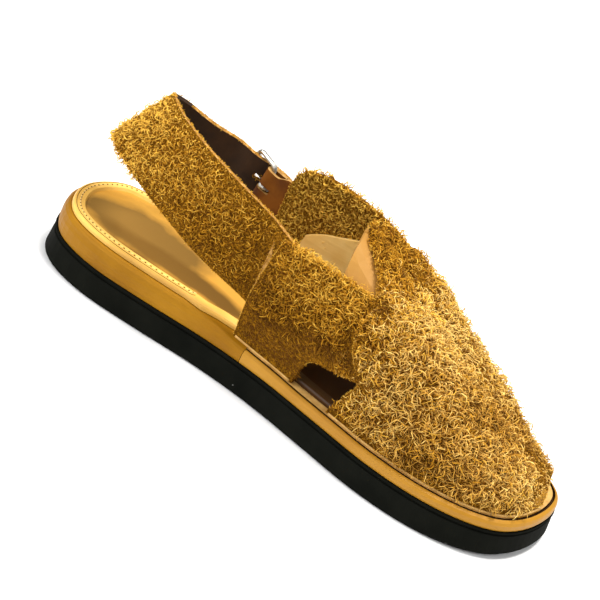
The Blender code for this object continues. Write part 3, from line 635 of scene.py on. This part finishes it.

# %% [markdown]
# ## Laying the nap
# A wisp leans in a main direction, turned by a soft random field and by a little noise of its
# own, and lies close to the hide. Five things change it from place to place:
#
# - near a cut edge and near the sole the hairs are short, and none reaches more than a
#   millimetre past an edge, so that the edge and the stitched ridge stay clean; near the sole
#   they are also painted darker, as shade,
# - on the outer wing, below its fold, the suede has been brushed flat, and there its hairs are
#   painted darker, as shade,
# - in the creases the hairs are pressed down and painted darker as shade, and on the shoulder
#   beside a crease they stand up and are painted lighter as a highlight,
# - where the upper band ends on the lower one, a line of painted shade follows its edge,
# - high on the instep and at the back of the strap the hairs are painted paler, as light falling
#   there, and towards the toe more and more of them take the sandy half of the palette.
#
# The creases and the band's edge are lines given in metres on the shoe.

# %% Creases and edges
# Along each line the hairs are darkened as painted shade, and beside it lightened as a painted
# highlight.
CREASES = (
    # depth, width, then the line's points
    (0.75, 0.0022, ((-0.027, -0.0293, 0.0366), (-0.019, -0.0296, 0.0394), (-0.004, -0.0308, 0.0459),
                    (0.014, -0.0331, 0.0510), (0.030, -0.0359, 0.0488))),
    (1.00, 0.0032, ((0.032, -0.0256, 0.0770), (0.0265, -0.0320, 0.0656), (0.0290, -0.0340, 0.0580),
                    (0.0418, -0.0385, 0.0438))),
    (1.00, 0.0030, ((0.0362, 0.0389, 0.0461), (0.0540, 0.0393, 0.0495), (0.0756, 0.0352, 0.0477),
                    (0.0985, 0.0232, 0.0456), (0.1172, 0.0093, 0.0384), (0.1317, 0.0019, 0.0331))),
    (0.45, 0.0030, ((0.050, -0.0380, 0.0560), (0.064, -0.0300, 0.0620), (0.074, -0.0180, 0.0600))),
    (0.40, 0.0030, ((0.060, 0.0100, 0.0690), (0.072, -0.0050, 0.0640), (0.078, -0.0220, 0.0560))),
)


def edge_points(faces, cut, count=6000):
    """Points spread over a piece's cut edges."""
    return scatter(faces, cut, count, np.random.default_rng(3))[0]


def distance_to(spots, targets):
    tree = KDTree(len(targets))
    for k, target in enumerate(targets):
        tree.insert(target, k)
    tree.balance()
    return np.array([tree.find(spot)[2] for spot in spots])


def finely(points, step=0.0008):
    """Points close together along a line."""
    points = np.array(points)
    counts = [max(2, int(np.linalg.norm(b - a) / step)) for a, b in zip(points, points[1:])]
    return np.vstack([np.linspace(a, b, count) for a, b, count in zip(points, points[1:], counts)])


def press_of(spots):
    """How deep each spot lies in a crease, 0 to 1, and how much it stands on a shoulder."""
    press, shoulder = np.zeros(len(spots)), np.zeros(len(spots))
    for depth, width, line in CREASES:
        ratio = distance_to(spots, finely(line)) / width
        press = np.maximum(press, depth * np.exp(-ratio ** 2))
        shoulder = np.maximum(shoulder, depth * np.exp(-((ratio - 2.2) / 1.1) ** 2))
    return press, shoulder * (1 - press)


FOOT_BELOW = 0.032
upper_corners = upper_faces[0].reshape(-1, 3)
foot_level = level_of(upper_corners[upper_corners[:, 2] < FOOT_BELOW], highest=False)
print("the bands stand at", [round(float(foot_level(x)) * 1000, 1) for x in (-0.04, 0.0, 0.05, 0.13)])

# %% Nap
triangles_laid = 0
DENSE = 1.0
# the brushed part of the wing: its height, how softly it starts, its slope and its front end
CALM_TOP, CALM_RUN, CALM_SLOPE, CALM_ENDS = 0.0270, 0.0080, 0.25, 0.026
# how high above the bands' foot the hair starts, and how far it may reach past a cut edge
HAIR_STARTS, PAST_EDGE = 0.0030, 0.0008
# the painted light, a paler tone: how much, where it starts on the instep, where on the strap, and
# over what run
LIT_TONE, LIT_HEIGHT, LIT_UP_RUN, LIT_BACK, LIT_BACK_RUN = 0.16, 0.052, 0.02, -0.085, 0.03
# the sandy tone: where it starts, over what run it grows, and the most of the hairs it takes
BLEACH_FROM, BLEACH_RUN, BLEACH_MOST = 0.022, 0.034, 0.85
# the two coats: rings, shortest and longest share of the length, least and greatest width, least
# and greatest curl, change of tone, and how much narrower and straighter where it is brushed
COATS = {
    "under": (2, (0.45, 0.75), (0.00065, 0.00100), (0.10, 0.22), -0.12, 0.0, 0.0),
    "curls": (4, (0.75, 1.45), (0.00050, 0.00098), (0.16, 0.36), 0.17, 0.30, 0.8),
}
# how short the hair is at a cut edge and over what distance it grows, the same above the foot
EDGE_SHORT, EDGE_RUN, FOOT_SHORT, FOOT_RUN = 0.14, 0.007, 0.30, 0.009
# the size and strength of the swirls, and the sizes of the pale and dark patches
SWIRL_SIZE, SWIRL_TURN, PATCH_SIZE, TUFT_SIZE = 0.010, 1.3, 0.034, 0.006
MIDDLE_TONE, ROOT_DEPTH = 0.44, 0.0002


def lay_nap(name, faces, keep, under, curly, seed, comb, mess, lift, length, edges, slot,
            tone_shift=0.0, wing=False, on_upper=True, fine=1.0, outside=True):
    """Wisps over part of a surface: a dark short undercoat, and pale longer curls over it."""
    global triangles_laid
    for part, count in (("under", under), ("curls", curly)):
        rings, sizes, breadths, bends, coat_tone, narrower, straighter = COATS[part]
        rng = np.random.default_rng(seed + rings)
        roots, normals = scatter(faces, keep, int(count * DENSE), rng)
        high = roots[:, 2] - foot_level(roots[:, 0]) if on_upper else np.full(len(roots), 0.05)
        stay = high > HAIR_STARTS
        roots, normals, high = roots[stay], normals[stay], high[stay]
        count = len(roots)
        near = distance_to(roots, edges)
        press, shoulder = press_of(roots) if on_upper else (np.zeros(count), np.zeros(count))
        calm = np.zeros(count)
        if wing:
            fold = CALM_TOP + CALM_SLOPE * roots[:, 0]
            calm = np.clip((fold - high) / CALM_RUN, 0, 1) * (roots[:, 0] < CALM_ENDS)
        # the direction: combed, laid on the surface, turned by swirls, and raised a little
        main = np.broadcast_to(np.array(comb, float), roots.shape).copy()
        main[:, 2] *= np.clip(high / 0.012, 0, 1)
        main = main - (main * normals).sum(1)[:, None] * normals
        main /= np.maximum(np.linalg.norm(main, axis=1), 1e-6)[:, None]
        cross = np.cross(normals, main)
        swirl = soft_field(roots, SWIRL_SIZE, 11) * SWIRL_TURN + rng.normal(0, 0.75, count)
        swirl *= mess * (1 - 0.80 * calm)
        lean = np.cos(swirl)[:, None] * main + np.sin(swirl)[:, None] * cross
        rise = lift * (1 - 0.8 * calm) * (1 - 0.6 * press) * (1 + 0.5 * shoulder)
        rise += rng.normal(0, 0.13, count) * (1 - 0.6 * calm)
        rise = np.clip(rise, 0.02, 0.8)
        ways = lean * np.cos(rise)[:, None] + normals * np.sin(rise)[:, None]
        # the length: short at edges, at the foot and in creases
        lengths = length * (EDGE_SHORT + (1 - EDGE_SHORT) * np.clip(near / EDGE_RUN, 0, 1))
        lengths *= np.clip(FOOT_SHORT + high / FOOT_RUN, 0, 1)
        lengths *= (1 - 0.10 * calm) * (1 - 0.5 * press) * (1 + 0.15 * shoulder)
        # the tone: 0 is the dark end of the palette and 1 the pale end
        tones = MIDDLE_TONE + tone_shift
        tones += 0.15 * soft_field(roots, PATCH_SIZE, 5) + 0.10 * soft_field(roots, TUFT_SIZE, 8)
        # painted shade and highlight: darker in the creases and on the brushed wing, lighter on the
        # crease shoulders
        tones += rng.normal(0, 0.13, count) - 0.22 * calm - 0.50 * press + 0.12 * shoulder
        # painted shade: darker near the foot of the bands
        tones -= 0.12 * np.exp(-high / 0.006)
        # painted light: the hairs are paler high on the instep and at the back of the strap
        if on_upper:
            tones += LIT_TONE * np.clip((roots[:, 2] - LIT_HEIGHT) / LIT_UP_RUN, 0, 1)
        else:
            tones += LIT_TONE * np.clip((LIT_BACK - roots[:, 0]) / LIT_BACK_RUN, 0, 1) * 2
        tones += coat_tone
        lengths *= rng.uniform(*sizes, count)
        widths = rng.uniform(*breadths, count) * (1 - narrower * calm) * fine
        curls = rng.uniform(*bends, count) * (1 - straighter * calm)
        lengths = np.minimum(lengths, near * 0.9 + PAST_EDGE)
        bleached = np.zeros(count)
        if on_upper and outside:
            share = np.clip((roots[:, 0] - BLEACH_FROM) / BLEACH_RUN, 0, 1)
            bleached = (rng.random(count) < share * BLEACH_MOST).astype(float)
        triangles_laid += build_wisps(name + "_" + part, rings, roots - normals * ROOT_DEPTH,
                                      normals, ways, lengths, widths, curls, tones, bleached,
                                      seed + rings + 1)


# where the toe part starts, where the inside shows hair, and where the band hides the strap
TOE_FROM, INSIDE_ABOVE, INSIDE_BEFORE, STRAP_HIDDEN = 0.036, 0.052, 0.020, -0.018
# the patch under the buckle's tab: where it starts, its height and its half width
TAB_FROM, TAB_HEIGHT, TAB_HALF = -0.034, 0.067, 0.014
# the undersides of the bands over the side openings: steepness, height and front end
ROOF_DOWN, ROOF_BELOW, ROOF_BEFORE = -0.6, 0.052, 0.045
outer = upper_facing > EDGE_FACING
inner_nap = ((upper_facing < -EDGE_FACING) & (upper_middle[:, 2] > INSIDE_ABOVE)
             & (upper_middle[:, 0] < INSIDE_BEFORE))
front = outer & (upper_middle[:, 0] > TOE_FROM)
rear = outer & (upper_middle[:, 0] <= TOE_FROM)
under_chape = (upper_middle[:, 0] < TAB_FROM) & (np.abs(upper_middle[:, 2] - TAB_HEIGHT) < TAB_HALF)
strap_outer = (strap_facing > STRAP_EDGE_FACING) & (strap_middle[:, 0] < STRAP_HIDDEN)
roof = ((upper_faces[2][:, 2] < ROOF_DOWN) & (upper_middle[:, 2] < ROOF_BELOW)
        & (upper_middle[:, 0] < ROOF_BEFORE))
upper_edges = edge_points(upper_faces, upper_cut | roof)
strap_edges = edge_points(strap_faces, strap_cut)
left, inner_side = upper_middle[:, 1] < 0.0, upper_middle[:, 1] >= 0.0
print("the upper has %.0f cm2 of nap outside and %.0f cm2 inside"
      % (upper_faces[1][outer].sum() * 1e4, upper_faces[1][inner_nap].sum() * 1e4))

# %% Wisps on the bands and the strap
UPPER_SLOT, STRAP_SLOT = "shaggy_suede", "shaggy_suede_strap"
UPPER_NAPS = (
    # name, where, undercoat, curls, seed, comb, mess, lift, length, and what else differs
    # the tone shifts here are painted light and shade: the toe is lightened, most on its inner side,
    # where light falls, and the outer wing is darkened, where it lies in shade
    ("nap_toe_outer", front & left, 5600, 5900, 21, (1.0, -0.25, -0.5), 1.5, 0.24, 0.0054,
     dict(tone_shift=0.04)),
    ("nap_toe_inner", front & inner_side, 5000, 4300, 31, (1.0, 0.25, -0.5), 1.3, 0.14, 0.0044,
     dict(tone_shift=0.10)),
    ("nap_wing", rear & left, 6000, 5400, 41, (0.7, -0.2, -0.6), 1.8, 0.20, 0.0042,
     dict(tone_shift=-0.24, wing=True, fine=0.92)),
    ("nap_flap", rear & inner_side & ~under_chape, 4200, 2900, 51, (0.4, 0.2, -0.6), 1.6, 0.18,
     0.0038, dict(fine=0.95)),
    ("nap_inside", inner_nap, 3000, 2000, 61, (0.4, 0.2, -0.8), 1.6, 0.20, 0.0032,
     dict(tone_shift=0.55, outside=False)),
)
for name, where, under, curly, seed, comb, mess, lift, length, differs in UPPER_NAPS:
    lay_nap(name, upper_faces, where, under, curly, seed, comb, mess, lift, length, upper_edges,
            UPPER_SLOT, **differs)
lay_nap("nap_strap", strap_faces, strap_outer, 6200, 6000, 71, (0.2, 0.0, -1.0), 2.4, 0.18,
        0.0034, strap_edges, STRAP_SLOT, tone_shift=-0.02, on_upper=False, fine=0.9)


# %% Fuzz on the cut edges
FUZZ_STARTS = 0.002


def fuzz_edge(name, faces, keep, count, seed):
    """Very short bright hairs that break up a cut edge."""
    global triangles_laid
    rng = np.random.default_rng(seed)
    roots, normals = scatter(faces, keep, int(count * DENSE), rng)
    ways = normals + rng.normal(0, 0.7, roots.shape)
    ways /= np.linalg.norm(ways, axis=1)[:, None]
    lengths = rng.uniform(0.0006, 0.0016, len(roots))
    triangles_laid += build_wisps(name, 2, roots - normals * 0.0001, normals, ways, lengths,
                                  rng.uniform(0.0003, 0.0005, len(roots)), np.full(len(roots), 0.2),
                                  rng.uniform(0.45, 0.95, len(roots)), np.zeros(len(roots)),
                                  seed + 1)


fuzz_edge("fuzz_upper", upper_faces,
          upper_cut & (upper_middle[:, 2] > foot_level(upper_middle[:, 0]) + FUZZ_STARTS),
          2600, 81)
fuzz_edge("fuzz_strap", strap_faces, strap_cut & (strap_middle[:, 0] < STRAP_HIDDEN),
          2600, 91)
print("triangles in the nap:", triangles_laid)

# %% [markdown]
# ## Rim and stitches
# The bands are turned out at their foot and stitched down, which leaves a thin pale rim between
# the groove and the suede. Its line follows the outline of the sole, moved inwards, and stops
# where the bands stop: at the openings and at the toe. Two rows of thread are seen, one on this
# rim and one round the raised edge of the footbed in the heel. A stitch is a short spindle of
# thread, sunk at both ends. Between two stitches of the footbed a dark spindle of painted shade
# stands for the needle hole, a thin dark line of painted shade follows the step from the rim down
# to the dish, and at the toe opening the ends of the thread stand out.

# %% Finding a line
def tree_of(*names):
    corners = np.vstack([triangles_of(nodes[name])[0] for name in names])
    return BVHTree.FromPolygons(corners.reshape(-1, 3).tolist(),
                                np.arange(len(corners) * 3).reshape(-1, 3).tolist())


def edge_line(tree, centres, angles, height):
    """Where level rays from far outside first meet a piece, at a height."""
    line = []
    for (cx, cy), angle in zip(centres, angles):
        way = Vector((math.cos(angle), math.sin(angle), 0))
        start = Vector((cx, cy, height)) + way * 0.3
        hit = tree.ray_cast(start, -way)[0]
        if hit is not None:
            line.append(hit)
    return np.array(line)


def walk(line, step):
    """Points at equal steps along a line, and the direction there."""
    gaps = np.linalg.norm(np.diff(line, axis=0), axis=1)
    far = np.concatenate([[0], np.cumsum(gaps)])
    marks = np.arange(step / 2, far[-1], step)
    spots = np.column_stack([np.interp(marks, far, line[:, k]) for k in range(3)])
    ahead = np.gradient(spots, axis=0)
    return spots, ahead / np.linalg.norm(ahead, axis=1)[:, None]


def inward(ahead):
    return np.column_stack([-ahead[:, 1], ahead[:, 0], ahead[:, 2] * 0])


def drop_on(spots, tree, lift):
    """Lowers points on to the piece below them."""
    out = []
    for spot in spots:
        hit = tree.ray_cast(Vector((spot[0], spot[1], 0.2)), Vector((0, 0, -1)))[0]
        out.append([spot[0], spot[1], hit[2] + lift] if hit else spot)
    return np.array(out)


# %% Tubes and stitches
ROUND = 6
SPINDLE = ((-1.0, 0.25), (-0.72, 0.85), (0.0, 1.0), (0.72, 0.85), (1.0, 0.25))


def add_tubes(name, paths, material):
    """One mesh of closed round tubes; a path is its points and a radius for each."""
    points, faces = [], []
    for line, radii in paths:
        line = np.array(line)
        ahead = np.gradient(line, axis=0)
        ahead /= np.linalg.norm(ahead, axis=1)[:, None]
        side = np.cross(ahead, [0.02, 0.01, 1.0])
        side /= np.linalg.norm(side, axis=1)[:, None]
        top = np.cross(side, ahead)
        base, count = len(points), len(line)
        for k in range(count):
            for n in range(ROUND):
                a = 2 * math.pi * n / ROUND
                points.append(line[k] + radii[k] * (math.cos(a) * side[k] + math.sin(a) * top[k]))
        for k in range(count - 1):
            for n in range(ROUND):
                a, b = base + k * ROUND + n, base + k * ROUND + (n + 1) % ROUND
                faces.append((a, b, b + ROUND, a + ROUND))
        faces.append(tuple(range(base + ROUND - 1, base - 1, -1)))
        faces.append(tuple(range(base + (count - 1) * ROUND, base + count * ROUND)))
    mesh = bpy.data.meshes.new(name)
    mesh.from_pydata([tuple(p) for p in points], [], faces)
    mesh.shade_smooth()
    mesh.materials.append(material)
    obj = bpy.data.objects.new(name, mesh)
    bpy.context.scene.collection.objects.link(obj)
    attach(obj, "root")
    print(name, len(paths), "tubes,", len(faces), "faces")


def sew(name, spots, ways, length, width, material, sink=0.5):
    """Spindles of thread, each along its way, with its ends sunk."""
    paths = []
    for spot, way in zip(spots, ways):
        line = [spot + way * reach * length / 2 - np.array([0, 0, sink * width * reach ** 2])
                for reach, _ in SPINDLE]
        paths.append((line, [width / 2 * fat for _, fat in SPINDLE]))
    add_tubes(name, paths, material)


def runs_of(flags, least=6):
    """The unbroken runs of true flags, as first and last numbers."""
    runs, first = [], None
    for k, flag in enumerate(list(flags) + [False]):
        if flag and first is None:
            first = k
        if not flag and first is not None:
            if k - first >= least:
                runs.append((first, k))
            first = None
    return runs


# %% Footbed stitches
thread, _ = new_material("waxed_thread", (0.86, 0.58, 0.20), 0.55, Specular_IOR_Level=0.3)
# needle_hole is painted shade for the needle holes and the footbed's step, and the dark thread of the
# rim's stitches
needle_hole, _ = new_material("needle_hole", (0.13, 0.060, 0.012), 0.9, Specular_IOR_Level=0.1)
FOOTBED_ROW, FOOTBED_STITCH = 0.0036, 0.0033
insole_tree = tree_of("insole")
_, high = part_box("insole")
turns = np.radians(np.arange(-50.0, -311.0, -1.5))
edge = edge_line(insole_tree, [(-0.075, 0.0)] * len(turns), turns, high[2] - 0.0014)
edge = edge[edge[:, 0] < -0.036]
spots, ahead = walk(edge, FOOTBED_STITCH)
row = drop_on(spots - inward(ahead) * FOOTBED_ROW, insole_tree, 0.00005)
sew("footbed_stitches", row, ahead, 0.0024, 0.00080, thread)
holes = (row[1:] + row[:-1]) / 2
# painted shade: a dark spindle between two stitches stands for the needle hole
sew("footbed_needle_hole_shade", holes, ahead[1:], 0.0008, 0.00075, needle_hole, sink=0.2)
crease = drop_on(spots - inward(ahead) * 0.0016, insole_tree, 0.00002)
# painted shade: a thin dark line where the rim steps down to the dish
add_tubes("footbed_crease_shade", [(crease, np.full(len(crease), 0.00018))], needle_hole)

# %% Rim under the bands
RIM_IN, RIM_RADIUS, RIM_STEP = 0.0057, 0.00078, 0.0020
RAYS, ARCH, BALL = 160, -0.055, 0.095
sole_tree, upper_tree = tree_of("outsole"), tree_of("upper")
midsole_tree = tree_of("heel_wedge", "welt_midsole")
xs = np.concatenate([np.linspace(ARCH, BALL, RAYS), np.full(RAYS, BALL),
                     np.linspace(BALL, ARCH, RAYS)])
turns = np.radians(np.concatenate([np.full(RAYS, -90.0), np.linspace(-90, 90, RAYS),
                                   np.full(RAYS, 90.0)]))
outline = edge_line(sole_tree, [(x, 0.0) for x in xs], turns, 0.008)
spots, ahead = walk(outline, RIM_STEP)
rim = drop_on(spots + inward(ahead) * RIM_IN, midsole_tree, 0.0005)
backed = []
for spot, way in zip(rim, inward(ahead)):
    hit = upper_tree.ray_cast(Vector(spot) + Vector((0, 0, 0.0012)), Vector(way), 0.004)[0]
    backed.append(hit is not None)
paths = [(rim[a:b], np.full(b - a, RIM_RADIUS)) for a, b in runs_of(backed)]
add_tubes("foot_rim", paths, pale_ridge)
marks, ways = [], []
for a, b in runs_of(backed):
    marks += list(rim[a:b] + np.array([0, 0, RIM_RADIUS * 0.75]))
    ways += list(ahead[a:b] * 0.75 + inward(ahead[a:b]) * 0.66)
sew("foot_rim_stitches", marks, ways, 0.0012, 0.00042, needle_hole, sink=0.8)
ends = []
for a, b in runs_of(backed):
    for k, turn in ((a, 1), (b - 1, -1)):
        if rim[k][0] > 0.10:
            line = [rim[k] + ahead[k] * turn * step + np.array([0, 0, 0.0006 + step * 0.3])
                    for step in (0.0, 0.0012, 0.0024, 0.0034)]
            ends.append((line, [0.0004, 0.0006, 0.0006, 0.0003]))
if ends:
    add_tubes("toe_thread_ends", ends, thread)
print("rim runs:", [(round(float(rim[a][0]), 3), round(float(rim[b - 1][0]), 3))
                    for a, b in runs_of(backed)])

# %% [markdown]
# ## Camera, floor and light
# The camera stands where the photograph was taken from: in front of the outer side, about
# thirty degrees up, and rolled, so that the shoe runs down the picture towards the right.
# Its place and turn were fitted to the outline of the sole. It is then aimed at the middle of
# this one shoe, and the lens is a little longer, so that the shoe fills the picture.

# %% Camera
LENS, CLOSER = 109.14, 1.35
AIM_RIGHT, AIM_UP = 0.0159, 0.0550
camera_data = bpy.data.cameras.new("camera")
camera_data.lens = LENS * CLOSER
camera_data.sensor_width = 36
camera = bpy.data.objects.new("camera", camera_data)
bpy.context.scene.collection.objects.link(camera)
looking = Vector((-0.2166, 0.8309, -0.5126)).normalized()
right = Vector((0.812, 0.4448, 0.378))
right = (right - looking * right.dot(looking)).normalized()
up = right.cross(looking)
looking = (looking + right * AIM_RIGHT + up * AIM_UP).normalized()
right = (right - looking * right.dot(looking)).normalized()
up = right.cross(looking)
turn = Matrix((right, up, -looking)).transposed().to_4x4()
camera.matrix_world = Matrix.Translation((0.2653, -1.0190, 0.5960)) @ turn
camera_data.clip_end = 20
bpy.context.scene.camera = camera
print("camera at", tuple(round(v, 3) for v in camera.location))

# %% Floor and backdrop
bpy.ops.mesh.primitive_plane_add(size=12, location=(0, 0, 0))
floor = bpy.context.object
floor.name = "floor"
floor_material, _ = new_material("pale_floor", (0.86, 0.86, 0.86), 0.7)
floor.data.materials.append(floor_material)


# %% Lights
def add_area(name, place, aim, size, power, colour=(1, 1, 1)):
    data = bpy.data.lights.new(name, "AREA")
    data.shape = "RECTANGLE"
    data.size, data.size_y = size
    data.energy = power
    data.color = colour
    lamp = bpy.data.objects.new(name, data)
    bpy.context.scene.collection.objects.link(lamp)
    lamp.location = place
    lamp.rotation_euler = (Vector(aim) - Vector(place)).to_track_quat("-Z", "Y").to_euler()


add_area("key", (0.15, 0.25, 1.5), (0, 0, 0.03), (0.5, 0.5), 31, (1.0, 0.98, 0.94))
add_area("fill", (-0.6, -1.3, 0.8), (0, 0, 0.03), (1.0, 0.8), 9)
add_area("toe_side", (1.1, -0.3, 0.9), (0, 0, 0.03), (0.6, 0.6), 7)
add_area("heel_side", (-1.0, -0.5, 1.1), (-0.05, 0, 0.03), (0.6, 0.6), 13)
world = bpy.data.worlds.new("studio")
world.use_nodes = True
world.node_tree.nodes["Background"].inputs[0].default_value = (1, 1, 1, 1)
world.node_tree.nodes["Background"].inputs[1].default_value = 0.30
bpy.context.scene.world = world
bpy.context.scene.view_settings.view_transform = "Standard"
